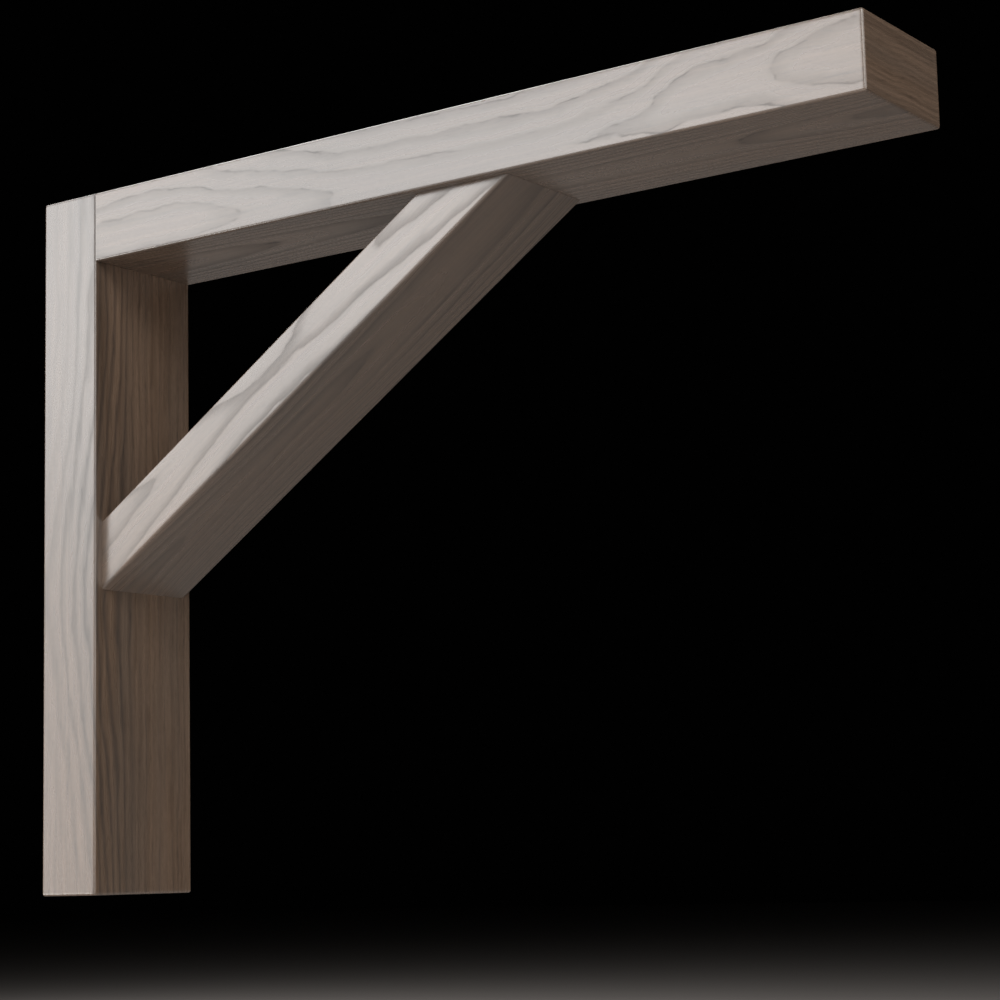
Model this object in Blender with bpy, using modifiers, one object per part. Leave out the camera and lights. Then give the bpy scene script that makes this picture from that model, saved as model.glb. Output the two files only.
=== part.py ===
# Wooden bar bracket: a post that stands against the wall, an arm that the bar top lies on,
# and a slanted brace between them. All three are solid bars.
# Metres, +Z up. The origin is the middle of the post's back face, +X runs out along the arm,
# and the bracket is the same on both sides of the plane Y = 0.

import math

import bpy

# Overall sizes
BRACKET_DEPTH = 0.6096    # from the wall to the arm's outer end, 24 in
BRACKET_HEIGHT = 0.4572    # from the post's foot to the arm's top, 18 in
BAR_WIDTH = 0.090    # post and arm, side to side

# Bar sections
POST_THICKNESS = 0.047    # out from the wall
ARM_THICKNESS = 0.046    # top to underside
BRACE_THICKNESS = 0.0375    # square to its own length
BRACE_INSET = 0.0065    # the brace's side, in from the sides of the post and arm

# Where the brace's lower face ends, counted from the inner corner of post and arm
BRACE_RUN = 0.3272    # out along the arm's underside
BRACE_RISE = 0.2163    # down the post's front face

# Edges and joints
EDGE_RADIUS = 0.0016    # every long edge and outer end is eased, 1/16 in
EDGE_SEGMENTS = 3
JOINT_GAP = 0.0003    # between two faces that touch

# Oiled walnut, linear colour for each bar
POST_COLOR = (0.225, 0.150, 0.104)
ARM_COLOR = (0.231, 0.152, 0.106)
BRACE_COLOR = (0.212, 0.140, 0.098)
WOOD_ROUGHNESS = 0.45

# Places that follow from the sizes
TOP_Z = BRACKET_HEIGHT / 2
FOOT_Z = -BRACKET_HEIGHT / 2
UNDERSIDE_Z = TOP_Z - ARM_THICKNESS
POST_FRONT_X = POST_THICKNESS
BRACE_WIDTH = BAR_WIDTH - 2 * BRACE_INSET
BRACE_ANGLE = math.atan2(BRACE_RISE, BRACE_RUN)


def clear_scene():
    for old in list(bpy.data.objects):
        bpy.data.objects.remove(old, do_unlink=True)


def add_collection(name):
    collection = bpy.data.collections.new(name)
    bpy.context.scene.collection.children.link(collection)
    return collection


def move_to_collection(obj, collection):
    for old in list(obj.users_collection):
        old.objects.unlink(obj)
    collection.objects.link(obj)


def add_block(name, size, location, collection, turn_y=0.0):
    # A box of the given size about its own middle, turned about Y
    bpy.ops.mesh.primitive_cube_add(size=1, location=location, rotation=(0, turn_y, 0))
    block = bpy.context.active_object
    block.name = name
    block.data.name = name
    block.scale = size
    bpy.ops.object.transform_apply(location=False, rotation=False, scale=True)
    move_to_collection(block, collection)
    return block


def add_wood(obj, color):
    wood = bpy.data.materials.new(obj.name + "_walnut")
    wood.use_nodes = True
    shader = wood.node_tree.nodes["Principled BSDF"]
    shader.inputs["Base Color"].default_value = (*color, 1)
    shader.inputs["Roughness"].default_value = WOOD_ROUGHNESS
    shader.inputs["Metallic"].default_value = 0
    obj.data.materials.append(wood)


def ease_edges(obj):
    bevel = obj.modifiers.new("eased_edges", "BEVEL")
    bevel.width = EDGE_RADIUS
    bevel.segments = EDGE_SEGMENTS
    bevel.limit_method = "ANGLE"


def cut_with(obj, cutter):
    cut = obj.modifiers.new("cut_by_" + cutter.name, "BOOLEAN")
    cut.operation = "DIFFERENCE"
    cut.solver = "EXACT"
    cut.object = cutter


def add_cutter(name, size, location, collection):
    cutter = add_block(name, size, location, collection)
    cutter.hide_render = True
    cutter.display_type = "WIRE"
    return cutter


def build_post(parts):
    # The full height of the bracket, with its back face on the wall
    size = (POST_THICKNESS, BAR_WIDTH, BRACKET_HEIGHT)
    post = add_block("post", size, (POST_THICKNESS / 2, 0, (TOP_Z + FOOT_Z) / 2), parts)
    ease_edges(post)
    add_wood(post, POST_COLOR)
    return post


def build_arm(parts, post_cutter):
    # Starts inside the post, so that the cut leaves its inner end square and sharp
    start_x = POST_FRONT_X - POST_THICKNESS / 2
    length = BRACKET_DEPTH - start_x
    size = (length, BAR_WIDTH, ARM_THICKNESS)
    arm = add_block("arm", size, (start_x + length / 2, 0, TOP_Z - ARM_THICKNESS / 2), parts)
    ease_edges(arm)
    cut_with(arm, post_cutter)
    add_wood(arm, ARM_COLOR)
    return arm


def build_brace(parts, post_cutter, arm_cutter):
    # A straight bar that runs on past both joints, and is then mitred by them
    along = (math.cos(BRACE_ANGLE), math.sin(BRACE_ANGLE))
    inward = (-math.sin(BRACE_ANGLE), math.cos(BRACE_ANGLE))
    length = math.hypot(BRACE_RUN, BRACE_RISE) + 2 * BRACE_THICKNESS
    low_face_mid_x = POST_FRONT_X + BRACE_RUN / 2
    low_face_mid_z = UNDERSIDE_Z - BRACE_RISE / 2
    middle_x = low_face_mid_x + inward[0] * BRACE_THICKNESS / 2
    middle_z = low_face_mid_z + inward[1] * BRACE_THICKNESS / 2
    size = (length, BRACE_WIDTH, BRACE_THICKNESS)
    turn_y = -math.atan2(along[1], along[0])
    brace = add_block("brace", size, (middle_x, 0, middle_z), parts, turn_y)
    ease_edges(brace)
    cut_with(brace, post_cutter)
    cut_with(brace, arm_cutter)
    add_wood(brace, BRACE_COLOR)
    return brace


def build_cutters(cutters):
    # All that lies behind the post's front face, and all that lies above the arm's underside,
    # each with the joint's gap
    width = 2 * BAR_WIDTH
    post_face_x = POST_FRONT_X + JOINT_GAP
    post_size = (BRACKET_DEPTH, width, 2 * BRACKET_HEIGHT)
    post_place = (post_face_x - BRACKET_DEPTH / 2, 0, 0)
    post_cutter = add_cutter("post_face", post_size, post_place, cutters)
    arm_face_z = UNDERSIDE_Z - JOINT_GAP
    arm_size = (2 * BRACKET_DEPTH, width, BRACKET_HEIGHT)
    arm_place = (BRACKET_DEPTH / 2, 0, arm_face_z + BRACKET_HEIGHT / 2)
    arm_cutter = add_cutter("arm_face", arm_size, arm_place, cutters)
    return post_cutter, arm_cutter


def main():
    clear_scene()
    parts = add_collection("bar_bracket")
    cutters = add_collection("cutters")
    post_cutter, arm_cutter = build_cutters(cutters)
    bars = [
        build_post(parts),
        build_arm(parts, post_cutter),
        build_brace(parts, post_cutter, arm_cutter),
    ]
    wall_point = bpy.data.objects.new("wall_point", None)
    parts.objects.link(wall_point)
    for bar in bars:
        bar.parent = wall_point


main()
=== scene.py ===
import math
import bpy
from mathutils import Euler, Matrix, Vector


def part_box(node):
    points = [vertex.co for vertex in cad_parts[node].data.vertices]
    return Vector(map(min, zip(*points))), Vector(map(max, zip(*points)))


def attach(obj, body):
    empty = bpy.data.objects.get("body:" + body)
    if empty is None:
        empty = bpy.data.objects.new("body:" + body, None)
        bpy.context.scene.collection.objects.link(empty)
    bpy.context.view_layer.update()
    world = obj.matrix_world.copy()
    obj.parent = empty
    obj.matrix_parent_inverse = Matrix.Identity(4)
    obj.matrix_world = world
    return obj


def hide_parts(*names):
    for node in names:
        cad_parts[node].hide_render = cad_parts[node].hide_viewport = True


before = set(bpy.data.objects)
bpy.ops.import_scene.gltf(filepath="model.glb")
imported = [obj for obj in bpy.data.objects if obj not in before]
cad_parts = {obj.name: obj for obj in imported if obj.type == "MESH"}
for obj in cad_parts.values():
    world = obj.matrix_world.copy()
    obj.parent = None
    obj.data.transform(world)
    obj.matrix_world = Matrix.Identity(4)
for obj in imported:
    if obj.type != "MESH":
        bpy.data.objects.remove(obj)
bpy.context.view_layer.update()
bpy.ops.object.select_all(action="DESELECT")
mm = 0.001  # the scene is in metres, and the wood's sizes below are in millimetres
print("frame loaded:", sorted(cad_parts))


def hexToLinear(code):
    # sRGB hex, as a colour picker shows it, to the linear values that a shader takes
    values = [int(code[i:i + 2], 16) / 255 for i in (1, 3, 5)]
    linear = [v / 12.92 if v <= 0.04045 else ((v + 0.055) / 1.055) ** 2.4 for v in values]
    return (*linear, 1)


def addNode(tree, kind, settings=None, feeds=None):
    # settings are the node's own properties, a ramp's stops or a curve's points; feeds give each
    # input socket a value, or the node or output that is linked to it
    node = tree.nodes.new(kind)
    for name, value in (settings or {}).items():
        if name == "stops":
            while len(node.color_ramp.elements) < len(value):
                node.color_ramp.elements.new(0.5)
            for stop, (place, color) in zip(node.color_ramp.elements, value):
                stop.position = place
                stop.color = color if isinstance(color, tuple) else (color, color, color, 1)
        elif name == "points":
            line = node.mapping.curves[0]
            line.points[0].location = value[0]
            line.points[1].location = value[-1]
            for x, y in value[1:-1]:
                line.points.new(x, y)
            node.mapping.update()
        else:
            setattr(node, name, value)
    if isinstance(feeds, list):
        feeds = dict(enumerate(feeds))
    for socket, feed in (feeds or {}).items():
        if isinstance(feed, bpy.types.Node):
            feed = feed.outputs[0]
        if isinstance(feed, bpy.types.NodeSocket):
            tree.links.new(feed, node.inputs[socket])
        else:
            node.inputs[socket].default_value = feed
    return node


# Camera: out past the arm's end and level with the post's foot, looking back and a little up
cameraView = {
    "place": (1.16876, -1.17838, -0.21737),
    "azimuth": 35.255,  # degrees, turned left from +Y
    "pitch": 8.505,  # degrees above the horizon
    "roll": -1.333,
    "lens": 88.585,  # mm
    "sensor": 36,  # mm
}


def addCamera(view):
    data = bpy.data.cameras.new("camera")
    data.sensor_width = view["sensor"]
    data.lens = view["lens"]
    camera = bpy.data.objects.new("camera", data)
    bpy.context.scene.collection.objects.link(camera)
    turn = Matrix.Rotation(math.radians(view["azimuth"]), 4, "Z")
    tilt = Matrix.Rotation(math.radians(90 + view["pitch"]), 4, "X")
    roll = Matrix.Rotation(math.radians(view["roll"]), 4, "Z")
    camera.matrix_world = Matrix.Translation(view["place"]) @ turn @ tilt @ roll
    bpy.context.scene.camera = camera


addCamera(cameraView)
bpy.context.scene.view_settings.view_transform = "Standard"
print("camera placed")


# Studio: a plain pale floor, a large soft key at the left of the camera, and weak fills all round
white = "#FFFFFF"
warmWhite = "#FFFDFA"
studio = {
    "floorHeight": -0.80,  # metres; a bar top is about 1.03 m above the floor
    "floorSize": 60.0,
    "floorSquares": 8,  # along each side
    "floorColor": "#ACA5A0",
    "floorRoughness": 0.85,
    "floorSpecular": 0.2,
    "room": "#010101",
    "roomStrength": 1.0,
    # name, place, aimed at, width, height, watts, spread in degrees, colour
    "softboxes": [
        # the key, and two low boxes that carry it down to the post's foot
        ("keySoftbox", (-2.17, -2.91, 1.4), (0.08, 0.24, 1.4), 3.5, 1.6, 48.4, 180, white),
        ("lowKeyLeft", (-3.0, -2.31, 0.1), (-0.75, 0.84, 0.1), 1.0, 1.0, 5.7, 180, white),
        ("lowKeyRight", (-1.69, -3.24, 0.1), (0.56, -0.09, 0.1), 2.2, 1.0, 7.3, 180, white),
        # from the right, for the post's inner face, the arm's end and the edges beside them
        ("rightFill", (1.75, -1.9, 1.9), (0.1, 0.0, 0.1), 2.4, 1.6, 31, 180, warmWhite),
        ("sideFill", (2.8, -1.4, 1.2), (0.2, 0.0, 0.3), 5.2, 3.0, 44, 180, warmWhite),
        # from in front and from low down, for the edges and the undersides
        ("frontFill", (0.25, -0.95, -0.58), (0.05, 0.0, -0.1), 0.5, 0.3, 0.23, 100, white),
        ("frontStrip", (0.35, -3.1, 0.65), (0.3, 0.0, 0.1), 1.6, 0.6, 2.4, 180, white),
        ("lowFill", (-1.2, -0.9, -0.6), (0.3, 0.0, 0.2), 0.5, 0.3, 0.58, 60, warmWhite),
        ("topKey", (-2.0, -1.8, 2.9), (0.2, 0.0, 0.0), 2.2, 1.2, 20, 180, white),
        # on the floor behind, which the undersides mirror
        ("floorPool", (-2.8, 3.6, 1.6), (-2.4, 3.2, -0.8), 2.0, 1.4, 43, 180, white),
        ("floorWash", (-3.0, 6.0, 1.0), (-3.0, 8.5, -0.8), 9.0, 1.2, 55, 180, white),
        # from behind and above, with a narrow spread that keeps them off the floor
        ("backFill", (-1.6, 2.3, 1.8), (0.2, 0.0, 0.2), 2.0, 1.2, 2.0, 60, white),
        ("overhead", (-1.0, 0.36, 2.0), (0.2, 0.0, 0.2), 1.6, 1.0, 2.6, 60, white),
    ],
}


def addSoftbox(name, place, target, width, height, watts, spread, color):
    data = bpy.data.lights.new(name, "AREA")
    data.shape = "RECTANGLE"
    data.size = width
    data.size_y = height
    data.energy = watts
    data.spread = math.radians(spread)
    data.color = hexToLinear(color)[:3]
    light = bpy.data.objects.new(name, data)
    bpy.context.scene.collection.objects.link(light)
    light.location = place
    light.rotation_euler = (Vector(target) - Vector(place)).to_track_quat("-Z", "Y").to_euler()
    light.visible_camera = False


def addFloor(look):
    squares = look["floorSquares"]
    bpy.ops.mesh.primitive_grid_add(
        x_subdivisions=squares, y_subdivisions=squares, size=look["floorSize"],
        location=(0, 0, look["floorHeight"]),
    )
    floor = bpy.context.active_object
    floor.name = "studioFloor"
    bpy.ops.object.transform_apply(location=True, rotation=False, scale=False)
    # matt emulsion paint: pale, with hardly any shine
    paint = bpy.data.materials.new("matt painted floor")
    paint.use_nodes = True
    shader = paint.node_tree.nodes["Principled BSDF"]
    shader.inputs["Base Color"].default_value = hexToLinear(look["floorColor"])
    shader.inputs["Roughness"].default_value = look["floorRoughness"]
    shader.inputs["Specular IOR Level"].default_value = look["floorSpecular"]
    floor.data.materials.append(paint)
    floor.select_set(False)


def addStudio(look):
    addFloor(look)
    for softbox in look["softboxes"]:
        addSoftbox(*softbox)
    world = bpy.data.worlds.new("dim room")
    bpy.context.scene.world = world
    world.use_nodes = True
    air = world.node_tree.nodes["Background"]
    air.inputs["Color"].default_value = hexToLinear(look["room"])
    air.inputs["Strength"].default_value = look["roomStrength"]


addStudio(studio)
print("studio set:", len(studio["softboxes"]), "softboxes")


# Black walnut, planed, sanded and given a satin clear finish: a greyed brown with soft darker
# growth bands that end in thin ragged lines, straight fine fibres and short open pores
walnut = {
    "paleWood": "#88705E",
    "midWood": "#7B6554",
    "darkWood": "#6C5747",
    "lineWood": "#3E3128",
    "greyWood": "#6F665F",
    "streakStops": (0.32, 0.50, 0.68),  # noise at which a streak is dark, middling and pale
    "roughness": 0.27,
    "bumpStrength": 0.18,
    "bumpDepth": 0.12 * mm,
    # mm along the bar and across it
    "strayLength": 90.0,  # its width is each bar's own
    "frayLength": 20.0,
    "frayWidth": 7.0,
    # mm along the bar, mm across it, and how many finer layers are added
    "grains": {
        "zone": (300.0, 22.0, 1.0),  # slow changes to a greyer brown
        "streak": (260.0, 2.6, 4.0),
        "fibre": (34.0, 0.8, 4.0),
        "pore": (9.0, 0.8, 1.0),  # twice the real width, or they would not show
        "break": (36.0, 4.0, 3.0),  # where the thin lines are broken
    },
    "greyNoise": (0.40, 0.70),  # noise between which a zone goes from least to most grey
    "greying": (0.1, 0.4),
    "fibreNoise": (0.3, 0.7),
    "fibreDepth": 0.065,  # how much paler or darker than the rest
    "poreNoise": (0.60, 0.74),  # noise between which a pore goes from nothing to its full depth
    "poreDepth": 0.24,
    "poreCrowding": 0.16,  # how much more often pores stand where a year ends
    "thinLine": [(0.0, 0.8), (0.03, 0.0), (0.90, 0.0), (0.965, 1.0), (1.0, 0.95)],  # over one year
    "weakestYear": 0.55,  # the faintest year against the strongest
    "breakNoise": (0.42, 0.57),  # noise between which a line goes from broken to whole
    "brokenLine": 0.12,  # what is left of a line where it is broken
    "calmLeft": 0.15,  # what is left of the marks in the calm years
    "lineTurn": 4.0,  # mm in from the front face, where the thin lines have their inner strength
    "toneTurn": 20.0,  # and where the inner paleness, partly painted light, takes over
}
noiseMiddle = 0.5
noiseSpan = 4  # a noise value is seldom more than a quarter away from its middle


def strayingLines(tree, inBar, wood, figure):
    # the wood's coordinates, moved so that its lines stray slowly and fray at their edges
    seed = figure["seed"]
    bent = inBar
    for along, across, reach in (
        (wood["strayLength"], figure["strayWidth"], figure["stray"]),
        (wood["frayLength"], wood["frayWidth"], figure["fray"]),
    ):
        drawnOut = addNode(
            tree, "ShaderNodeMapping", None,
            {"Vector": inBar, "Location": (seed, seed * 2, along),
             "Scale": (1 / along, 1 / across, 1 / across)},
        )
        noise = addNode(
            tree, "ShaderNodeTexNoise", None,
            {"Vector": drawnOut, "Scale": 1.0, "Detail": 3.0, "Roughness": 0.55},
        )
        bothWays = addNode(
            tree, "ShaderNodeVectorMath", {"operation": "SUBTRACT"},
            [noise.outputs["Color"], (noiseMiddle, noiseMiddle, noiseMiddle)],
        )
        bent = addNode(
            tree, "ShaderNodeVectorMath", {"operation": "MULTIPLY_ADD"},
            [bothWays, (0, noiseSpan * reach, noiseSpan * reach), bent],
        )
    return bent


def growthYears(tree, depth, fromFront, alongBar, figure):
    # growth surfaces round the bar's heart line. The first part is the figure on the front face and
    # through the thickness, round at the heart line and straight away from it
    fromHeart = addNode(tree, "ShaderNodeMath", {"operation": "SUBTRACT"}, [depth, alongBar["tHeart"]])
    squared = addNode(
        tree, "ShaderNodeMath", {"operation": "MULTIPLY_ADD"}, [fromHeart, fromHeart, figure["tRound"] ** 2]
    )
    bow = addNode(tree, "ShaderNodeMath", {"operation": "SQRT"}, [squared])
    bowRise = addNode(tree, "ShaderNodeMath", {"operation": "SUBTRACT"}, [bow, figure["tRound"]])
    leaning = addNode(tree, "ShaderNodeMath", {"operation": "MULTIPLY"}, [depth, figure["tLean"]])
    throughBar = addNode(
        tree, "ShaderNodeMath", {"operation": "MULTIPLY_ADD"}, [bowRise, figure["tYears"], leaning]
    )
    # the second part is what is added from the front face across the width, nought at that face
    pastHeart = addNode(
        tree, "ShaderNodeMath", {"operation": "MULTIPLY_ADD"}, [alongBar["wHeart"], -2.0, fromFront]
    )
    cupped = addNode(tree, "ShaderNodeMath", {"operation": "MULTIPLY"}, [fromFront, pastHeart])
    acrossBar = addNode(
        tree, "ShaderNodeMath", {"operation": "MULTIPLY_ADD"}, [cupped, figure["wRound"], throughBar]
    )
    growth = addNode(
        tree, "ShaderNodeMath", {"operation": "MULTIPLY_ADD"}, [fromFront, figure["wLean"], acrossBar]
    )
    # the levels then shift the lines along the bar, by one amount at the front face, by another inside
    inward = addNode(
        tree, "ShaderNodeMapRange", {"interpolation_type": "SMOOTHSTEP"},
        {"Value": fromFront, "From Max": figure["turnWidth"]},
    )
    levelChange = addNode(
        tree, "ShaderNodeMath", {"operation": "SUBTRACT"}, [alongBar["farLevel"], alongBar["nearLevel"]]
    )
    level = addNode(
        tree, "ShaderNodeMath", {"operation": "MULTIPLY_ADD"}, [levelChange, inward, alongBar["nearLevel"]]
    )
    return addNode(tree, "ShaderNodeMath", {"operation": "SUBTRACT"}, [growth, level])


def yearMarks(tree, years, fromFront, breaks, wood, figure):
    # each year darkens slowly and ends in a thin broken line, stronger in some years than in others
    ring = addNode(tree, "ShaderNodeMath", {"operation": "FRACT"}, [years])
    ringNumber = addNode(tree, "ShaderNodeMath", {"operation": "FLOOR"}, [years])
    band = addNode(tree, "ShaderNodeValToRGB", {"stops": figure["band"]}, [ring])
    thinLine = addNode(tree, "ShaderNodeValToRGB", {"stops": wood["thinLine"]}, [ring])
    bandFade = addNode(
        tree, "ShaderNodeMapRange", {"interpolation_type": "SMOOTHSTEP"},
        {"Value": fromFront, "From Min": figure["bandTurn"][0], "From Max": figure["bandTurn"][1],
         "To Min": figure["bandDepth"], "To Max": figure["bandDepthFar"]},
    )
    lineFade = addNode(
        tree, "ShaderNodeMapRange", {"interpolation_type": "SMOOTHSTEP"},
        {"Value": fromFront, "From Max": wood["lineTurn"], "To Min": figure["lineDepth"],
         "To Max": figure["lineDepthFar"]},
    )
    broken = addNode(
        tree, "ShaderNodeMapRange", None,
        {"Value": breaks, "From Min": wood["breakNoise"][0], "From Max": wood["breakNoise"][1],
         "To Min": wood["brokenLine"], "To Max": 1.0},
    )
    bandShare = addNode(tree, "ShaderNodeMath", {"operation": "MULTIPLY"}, [band, bandFade])
    lineShare = addNode(tree, "ShaderNodeMath", {"operation": "MULTIPLY"}, [thinLine, lineFade])
    lineBroken = addNode(tree, "ShaderNodeMath", {"operation": "MULTIPLY"}, [lineShare, broken])
    darkest = addNode(tree, "ShaderNodeMath", {"operation": "MAXIMUM"}, [bandShare, lineBroken])
    yearNoise = addNode(tree, "ShaderNodeTexWhiteNoise", {"noise_dimensions": "1D"}, {"W": ringNumber})
    strength = addNode(
        tree, "ShaderNodeMapRange", None, {"Value": yearNoise, "To Min": wood["weakestYear"], "To Max": 1.0}
    )
    if "calmYears" in figure:
        calm = addNode(
            tree, "ShaderNodeMapRange", None,
            {"Value": years, "From Min": figure["calmYears"][0], "From Max": figure["calmYears"][1],
             "To Min": 1.0, "To Max": wood["calmLeft"]},
        )
        strength = addNode(tree, "ShaderNodeMath", {"operation": "MULTIPLY"}, [strength, calm])
    return addNode(tree, "ShaderNodeMath", {"operation": "MULTIPLY"}, [darkest, strength])


def walnutMaterial(name, wood, place, turns, length, halfWidth, figure):
    # place and turns are the bar's middle and its rotation; the wood is then read in the bar's own
    # millimetres: X along it, Y across its width and Z through its thickness
    material = bpy.data.materials.new(name)
    material.use_nodes = True
    tree = material.node_tree
    shader = tree.nodes["Principled BSDF"]
    coords = addNode(tree, "ShaderNodeTexCoord")
    inBar = addNode(
        tree, "ShaderNodeMapping", {"vector_type": "TEXTURE"},
        {"Vector": coords.outputs["Object"], "Location": place, "Rotation": turns, "Scale": (mm, mm, mm)},
    )
    bent = strayingLines(tree, inBar, wood, figure)
    axes = addNode(tree, "ShaderNodeSeparateXYZ", None, [bent])
    share = addNode(
        tree, "ShaderNodeMath", {"operation": "MULTIPLY_ADD"}, [axes.outputs["X"], 1 / length, 0.5]
    )
    fromFront = addNode(tree, "ShaderNodeMath", {"operation": "ADD"}, [axes.outputs["Y"], halfWidth])

    # values that change along the bar, each drawn as a curve over its length
    alongBar = {}
    for key in ("tHeart", "wHeart", "nearLevel", "farLevel", "toneAndPaintedLight", "farToneAndPaintedLight"):
        points, low, high = figure[key]
        curve = addNode(tree, "ShaderNodeFloatCurve", {"points": points}, {"Value": share})
        alongBar[key] = addNode(
            tree, "ShaderNodeMath", {"operation": "MULTIPLY_ADD"}, [curve, high - low, low]
        )
    years = growthYears(tree, axes.outputs["Z"], fromFront, alongBar, figure)

    # zones, streaks, fibres, pores and breaks in the lines, all drawn out along the bar
    seed = figure["seed"]
    grains = {}
    for key, (along, across, detail) in wood["grains"].items():
        drawnOut = addNode(
            tree, "ShaderNodeMapping", None,
            {"Vector": bent, "Location": (seed, seed + across, along),
             "Scale": (1 / along, 1 / across, 1 / across)},
        )
        grains[key] = addNode(
            tree, "ShaderNodeTexNoise", None,
            {"Vector": drawnOut, "Scale": 1.0, "Detail": detail, "Roughness": 0.6},
        )
    dark = yearMarks(tree, years, fromFront, grains["break"], wood, figure)

    # streaks of three browns, greyed in zones, with the year marks over them
    browns = [hexToLinear(wood[key]) for key in ("darkWood", "midWood", "paleWood")]
    body = addNode(
        tree, "ShaderNodeValToRGB", {"stops": list(zip(wood["streakStops"], browns))}, [grains["streak"]]
    )
    greyed = addNode(
        tree, "ShaderNodeMapRange", None,
        {"Value": grains["zone"], "From Min": wood["greyNoise"][0], "From Max": wood["greyNoise"][1],
         "To Min": wood["greying"][0], "To Max": wood["greying"][1]},
    )
    zoned = addNode(
        tree, "ShaderNodeMix", {"data_type": "RGBA"}, {0: greyed, 6: body, 7: hexToLinear(wood["greyWood"])}
    )
    lined = addNode(
        tree, "ShaderNodeMix", {"data_type": "RGBA"},
        {0: dark, 6: zoned.outputs[2], 7: hexToLinear(wood["lineWood"])},
    )
    fibreShade = addNode(
        tree, "ShaderNodeMapRange", None,
        {"Value": grains["fibre"], "From Min": wood["fibreNoise"][0], "From Max": wood["fibreNoise"][1],
         "To Min": 1 - wood["fibreDepth"], "To Max": 1 + wood["fibreDepth"]},
    )
    poreSum = addNode(
        tree, "ShaderNodeMath", {"operation": "MULTIPLY_ADD"}, [dark, wood["poreCrowding"], grains["pore"]]
    )
    poreMark = addNode(
        tree, "ShaderNodeMapRange", None,
        {"Value": poreSum, "From Min": wood["poreNoise"][0], "From Max": wood["poreNoise"][1],
         "To Min": 1.0, "To Max": 1 - wood["poreDepth"]},
    )
    fineShade = addNode(tree, "ShaderNodeMath", {"operation": "MULTIPLY"}, [fibreShade, poreMark])
    # the wood's paleness changes along the bar and in from its front face; partly its own colour, partly
    # painted light: paler where more light falls, and on the post's inner face a painted fill against the
    # shade under the arm
    toneAndPaintedLight = addNode(
        tree, "ShaderNodeMapRange", None,
        {"Value": fromFront, "From Max": wood["toneTurn"], "To Min": alongBar["toneAndPaintedLight"],
         "To Max": alongBar["farToneAndPaintedLight"]},
    )
    # this factor carries the painted light of the paleness curves into the base colour
    shade = addNode(tree, "ShaderNodeMath", {"operation": "MULTIPLY"}, [fineShade, toneAndPaintedLight])
    color = addNode(
        tree, "ShaderNodeVectorMath", {"operation": "SCALE"}, {0: lined.outputs[2], "Scale": shade}
    )
    # dark marks take the finish in, so they shine less, and fibres and pores lie a little lower
    roughness = addNode(
        tree, "ShaderNodeMapRange", None,
        {"Value": dark, "To Min": wood["roughness"], "To Max": wood["roughness"] + figure["matt"]},
    )
    bump = addNode(
        tree, "ShaderNodeBump", None,
        {"Height": fineShade, "Strength": wood["bumpStrength"], "Distance": wood["bumpDepth"]},
    )
    tree.links.new(color.outputs[0], shader.inputs["Base Color"])
    tree.links.new(roughness.outputs[0], shader.inputs["Roughness"])
    tree.links.new(bump.outputs["Normal"], shader.inputs["Normal"])
    shader.inputs["IOR"].default_value = figure["ior"]
    return material


# Every bar: square-cut, with all its long edges and outer ends eased alike
bars = {
    "edgeRadius": 1.6 * mm,
    "edgeSegments": 6,
    "flatFrom": 1.2 * mm,  # past an eased edge, where a loop keeps the flat face flat in the shading
    "smoothAngle": 35,  # degrees
    "endFacing": 0.8,  # how squarely a face looks along the bar, for it to be sawn end
}


def sawnBar(name, middle, turn, size, cuts):
    # a cube brought to the bar's size, its edges eased, then sawn off by the joints' planes
    bpy.ops.mesh.primitive_cube_add(size=1, location=middle, rotation=(0, turn, 0))
    bar = bpy.context.active_object
    bar.name = name
    bar.data.name = name
    bar.scale = size
    bpy.ops.object.transform_apply(location=True, rotation=True, scale=True)
    bpy.ops.object.mode_set(mode="EDIT")
    bpy.ops.mesh.select_all(action="SELECT")
    bpy.ops.mesh.bevel(offset=bars["edgeRadius"], segments=bars["edgeSegments"], profile=0.5, affect="EDGES")
    # a loop close inside each eased edge
    axes = Euler((0, turn, 0)).to_matrix()
    for i in range(3):
        for side in (-1, 1):
            inside = side * (size[i] / 2 - bars["edgeRadius"] - bars["flatFrom"])
            bpy.ops.mesh.select_all(action="SELECT")
            bpy.ops.mesh.bisect(plane_co=Vector(middle) + axes.col[i] * inside, plane_no=axes.col[i])
    for point, normal in cuts:
        bpy.ops.mesh.select_all(action="SELECT")
        bpy.ops.mesh.bisect(plane_co=point, plane_no=normal, use_fill=True, clear_outer=True)
    bpy.ops.mesh.select_all(action="SELECT")
    bpy.ops.mesh.normals_make_consistent(inside=False)
    bpy.ops.object.mode_set(mode="OBJECT")
    bpy.ops.object.shade_smooth_by_angle(angle=math.radians(bars["smoothAngle"]))
    bar.select_set(False)
    return bar


def finishEnds(bar, axis, material):
    # the sawn ends take the second material
    bar.data.materials.append(material)
    for face in bar.data.polygons:
        if abs(face.normal.dot(axis)) > bars["endFacing"]:
            face.material_index = 1


postLow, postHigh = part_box("post")
armLow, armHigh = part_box("arm")
braceLow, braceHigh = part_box("brace")

# How a bar's lines are drawn. Growth years are counted through the wood, and a line falls at each
# whole year. t is mm through the thickness from the middle, w is mm in from the front face.
#   stray, strayWidth, fray: how far the lines stray, how wide apart they do so, how far they fray, mm
#   tHeart, wHeart: where the heart line runs along the bar
#   tRound: how blunt the lines' points are; tYears, wRound, tLean, wLean: years for each mm
#   nearLevel, farLevel: years taken off along the bar, at the front face and from turnWidth mm in
#   band: how dark a year is from its start to its end; bandTurn: from how far in bandDepthFar holds
#   calmYears: between these the marks die away; matt: the roughness that a dark mark adds
#   tone, farToneAndPaintedLight: how pale the wood is along the bar, at the front face and inside; partly
#       the wood's own colour, partly painted light
# A value that changes along the bar has its curve, 0 to 1 both ways, and what 0 and 1 stand for.
# The lit faces shine more than varnish with its usual index of 1.5, so each ior is well above that.
noChange = ([(0, 0), (1, 0)], 0, 1)

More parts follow.
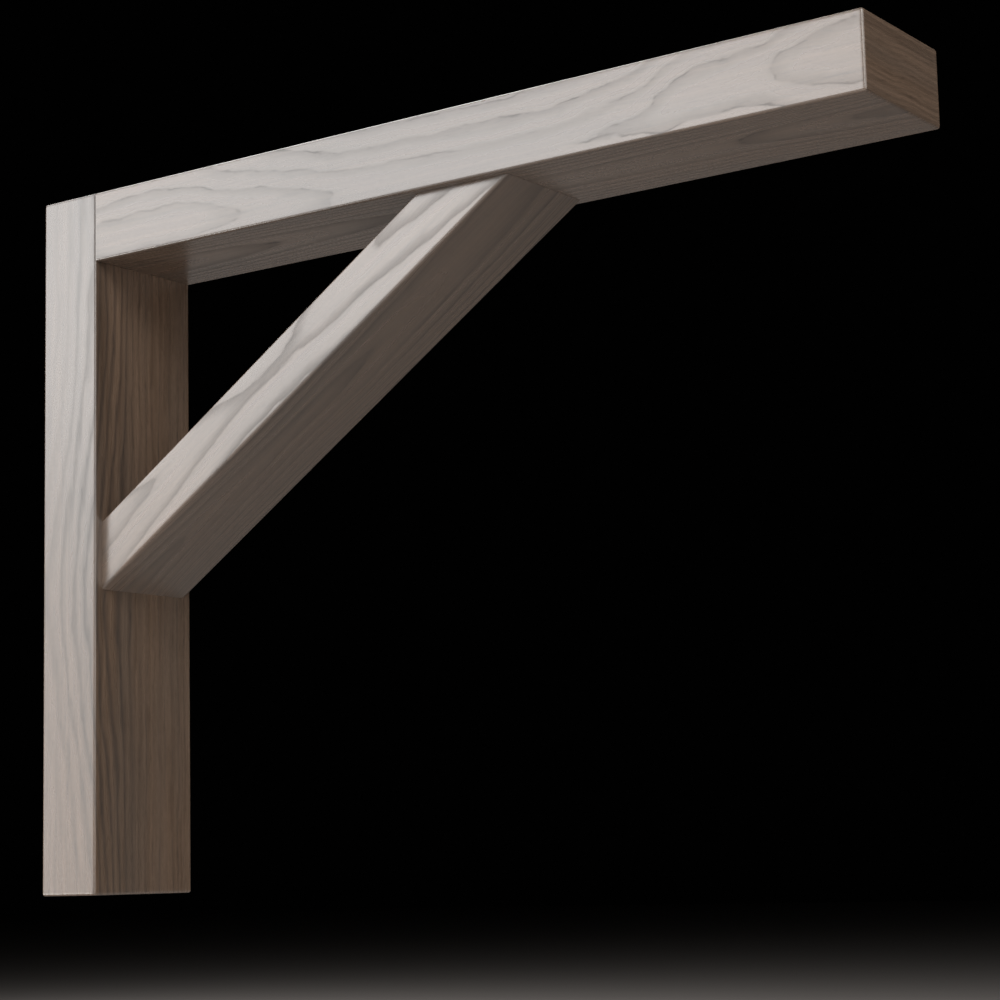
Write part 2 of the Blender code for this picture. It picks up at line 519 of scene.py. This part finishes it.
# Sawn ends: fine wavy lines from side to side
endLevel = ([(0, 0.2), (0.3, 0.0), (0.6, 0.5), (0.8, 0.35), (1, 0.6)], 0, 1.4)
endFigure = {
    "seed": 5.3,
    "stray": 1.0,
    "strayWidth": 30,
    "fray": 0.25,
    "tHeart": noChange,
    "tRound": 1.0,
    "tYears": 0.0,
    "tLean": 1 / 3.2,
    "wHeart": noChange,
    "wRound": 0.0,
    "wLean": 0.0,
    "nearLevel": endLevel,
    "farLevel": endLevel,
    "turnWidth": 45,
    "band": [(0.0, 0.7), (0.2, 0.1), (0.4, 0.0), (0.6, 0.2), (0.85, 0.9), (1.0, 1.0)],
    "bandTurn": (0, 90),
    "bandDepth": 0.36,
    "bandDepthFar": 0.36,
    "lineDepth": 0.6,
    "lineDepthFar": 0.6,
    "toneAndPaintedLight": ([(0, 0.85), (1, 0.85)], 0, 1.5),
    "farToneAndPaintedLight": ([(0, 0.72), (1, 0.72)], 0, 2.0),
    "matt": 0.24,
    "ior": 2.45,
}

# Post: rift-sawn, its growth lines bow out in one long arch
postLook = {
    "seed": 3.1,
    "stray": 2.3,
    "strayWidth": 13,
    "fray": 0.2,
    "tHeart": noChange,
    "tRound": 1.0,
    "tYears": 0.0,
    "tLean": 1 / 11,
    "wHeart": noChange,
    "wRound": 0.0,
    "wLean": -1 / 6,
    "nearLevel": (
        [(0, 0.0), (0.09, 0.20), (0.14, 0.35), (0.19, 0.48), (0.26, 0.74), (0.33, 0.87), (0.40, 1.0),
         (0.50, 0.85), (0.58, 0.66), (0.65, 0.43), (0.70, 0.30), (0.76, 0.15), (0.86, 0.05), (1, 0.0)],
        0, 2.73),
    "farLevel": noChange,
    "turnWidth": 45,
    "band": [(0.0, 0.85), (0.14, 0.35), (0.34, 0.0), (0.50, 0.12), (0.62, 0.10), (0.86, 0.80), (1.0, 1.0)],
    "bandTurn": (20, 46),
    "bandDepth": 0.85,
    "bandDepthFar": 0.15,
    "lineDepth": 0.35,
    "lineDepthFar": 1.05,
    "calmYears": (-2.2, 0.2),
    # partly painted light: the front face paler toward the foot, where more light falls; the inner face far
    # paler toward the top, a painted fill against the shade under the arm
    "toneAndPaintedLight": ([(0, 0.86), (0.25, 0.77), (0.5, 0.64), (0.75, 0.55), (1, 0.42)], 0, 1.5),
    "farToneAndPaintedLight": ([(0, 0.60), (0.5, 0.66), (0.7, 0.76), (0.88, 0.96), (1, 1.15)], 0, 2.0),
    "matt": 0.24,
    "ior": 2.5,
}


def makePost(look):
    middle = (postLow + postHigh) / 2
    size = postHigh - postLow
    width = size.y / mm
    height = size.z / mm
    bar = sawnBar("postBar", middle, 0, size, [])
    turns = (0, math.radians(-90), 0)
    long = walnutMaterial("satin walnut, post", walnut, middle, turns, height, width / 2, look)
    bar.data.materials.append(long)
    endTurns = (math.radians(90), 0, math.radians(90))
    end = walnutMaterial("satin walnut, post ends", walnut, middle, endTurns, width, height / 2, endFigure)
    finishEnds(bar, Vector((0, 0, 1)), end)
    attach(bar, "root")
    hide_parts("post")


makePost(postLook)
print("post made")

# Arm: flat-sawn, pointed loops at both ends of the front face and of the underside
armLook = {
    "startsInside": 20 * mm,  # how far inside the post the bar starts, before its inner end is sawn
    "seed": 7.7,
    "stray": 1.3,
    "strayWidth": 34,
    "fray": 0.5,
    "tHeart": ([(0, 0.30), (0.2, 0.25), (0.40, 0.13), (0.72, 0.18), (0.83, 0.45), (1, 0.53)], -23, 23),
    "tRound": 6,
    "tYears": 1 / 11.6,
    "tLean": 0.0,
    "wHeart": ([(0, 0.46), (1, 0.44)], 0, 90),
    "wRound": 1 / 355,
    "wLean": 0.0,
    "nearLevel": (
        [(0, 0.75), (0.1, 0.86), (0.205, 0.54), (0.31, 0.33), (0.40, 0.12), (0.55, 0.0), (0.72, 0.12),
         (0.79, 0.39), (0.83, 0.465), (0.887, 0.54), (0.91, 0.685), (0.96, 0.90), (1, 0.98)],
        -1.3, 1.1),
    "farLevel": (
        [(0, 0.79), (0.1, 0.70), (0.205, 0.53), (0.31, 0.33), (0.40, 0.17), (0.55, 0.07), (0.72, 0.20),
         (0.80, 0.45), (0.885, 0.72), (1, 0.97)],
        -1.0, 2.6),
    "turnWidth": 32,
    "band": [(0.0, 0.55), (0.08, 0.12), (0.30, 0.0), (0.56, 0.10), (0.85, 0.80), (1.0, 1.0)],
    "bandTurn": (0, 8),
    "bandDepth": 0.30,
    "bandDepthFar": 0.62,
    "lineDepth": 0.75,
    "lineDepthFar": 1.2,
    # partly painted light: the front face darker in the middle and paler toward the outer end, as the light
    # falls along it
    "toneAndPaintedLight": ([(0, 0.60), (0.12, 0.56), (0.3, 0.44), (0.55, 0.485), (0.8, 0.62), (1, 0.74)], 0, 1.5),
    "farToneAndPaintedLight": ([(0, 0.5), (0.8, 0.5), (1, 0.56)], 0, 2.0),
    "matt": 0.24,
    "ior": 2.4,
}


def makeArm(look):
    # the inner end is sawn square, hard against the post
    innerX = armLow.x
    low = Vector((innerX - look["startsInside"], armLow.y, armLow.z))
    middle = (low + armHigh) / 2
    bar = sawnBar("armBar", middle, 0, armHigh - low, [((innerX, 0, 0), (-1, 0, 0))])
    barMiddle = (armLow + armHigh) / 2
    size = (armHigh - armLow) / mm
    long = walnutMaterial("satin walnut, arm", walnut, barMiddle, (0, 0, 0), size.x, size.y / 2, look)
    bar.data.materials.append(long)
    endTurns = (0, 0, math.radians(90))
    end = walnutMaterial(
        "satin walnut, arm ends", walnut, barMiddle, endTurns, size.y, size.x / 2, endFigure
    )
    finishEnds(bar, Vector((1, 0, 0)), end)
    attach(bar, "root")
    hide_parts("arm")


makeArm(armLook)
print("arm made")

# Brace: its lines narrow to a waist at the middle of the front face
braceLook = {
    "thickness": 37.5 * mm,
    "reach": 0.2 * mm,  # how far its ends go on past the CAD ones, so that no gap shows
    "seed": 11.3,
    "stray": 1.1,
    "strayWidth": 34,
    "fray": 0.5,
    "tHeart": (
        [(0, 0.82), (0.2, 0.80), (0.35, 0.72), (0.46, 0.62), (0.62, 0.75), (0.8, 0.90), (1, 1.0)],
        -18.75, 18.75),
    "tRound": 5,
    "tYears": 1 / 16,
    "tLean": 0.0,
    "wHeart": ([(0, 0.17), (0.31, 0.2), (0.64, 0.35), (1, 0.36)], 0, 77),
    "wRound": 1 / 500,
    "wLean": 0.0,
    "nearLevel": (
        [(0, 0.817), (0.06, 0.737), (0.2, 0.496), (0.35, 0.166), (0.46, 0.026), (0.62, 0.262),
         (0.8, 0.622), (0.94, 0.875), (1, 0.967)],
        0.0, 2.0),
    "farLevel": ([(0, 0.952), (0.31, 0.678), (0.46, 0.407), (0.64, 0.234), (1, 0.161)], 0.0, 4.4),
    "turnWidth": 30,
    "band": [(0.0, 0.5), (0.06, 0.1), (0.30, 0.0), (0.68, 0.12), (0.89, 0.75), (1.0, 1.0)],
    "bandTurn": (0, 8),
    "bandDepth": 0.74,
    "bandDepthFar": 0.9,
    "lineDepth": 0.8,
    "lineDepthFar": 1.2,
    # partly painted light: the front face paler at the lower end, where more light falls, and darker in the
    # middle
    "toneAndPaintedLight": ([(0, 0.88), (0.15, 0.85), (0.5, 0.60), (0.85, 0.63), (1, 0.65)], 0, 1.5),
    "farToneAndPaintedLight": ([(0, 0.48), (1, 0.45)], 0, 2.0),
    "matt": 0.40,
    "ior": 2.45,
}


def makeBrace(look):
    # its lower face runs from the box's low corner at the post to its high corner under the arm
    run = braceHigh.x - braceLow.x
    rise = braceHigh.z - braceLow.z
    width = braceHigh.y - braceLow.y
    thickness = look["thickness"]
    slope = math.atan2(rise, run)
    inward = Vector((-math.sin(slope), 0, math.cos(slope)))
    middle = (braceLow + braceHigh) / 2 + inward * thickness / 2
    middle.y = 0
    length = math.hypot(run, rise)
    # longer than needed, then sawn off hard against the post and the arm
    size = Vector((length + 2 * thickness, width, thickness))
    cuts = [
        ((braceLow.x - look["reach"], 0, 0), (-1, 0, 0)),
        ((0, 0, braceHigh.z + look["reach"]), (0, 0, 1)),
    ]
    bar = sawnBar("braceBar", middle, -slope, size, cuts)
    turns = (0, -slope, 0)
    long = walnutMaterial("satin walnut, brace", walnut, middle, turns, length / mm, width / mm / 2, look)
    bar.data.materials.append(long)
    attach(bar, "root")
    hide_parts("brace")


makeBrace(braceLook)
print("brace made")
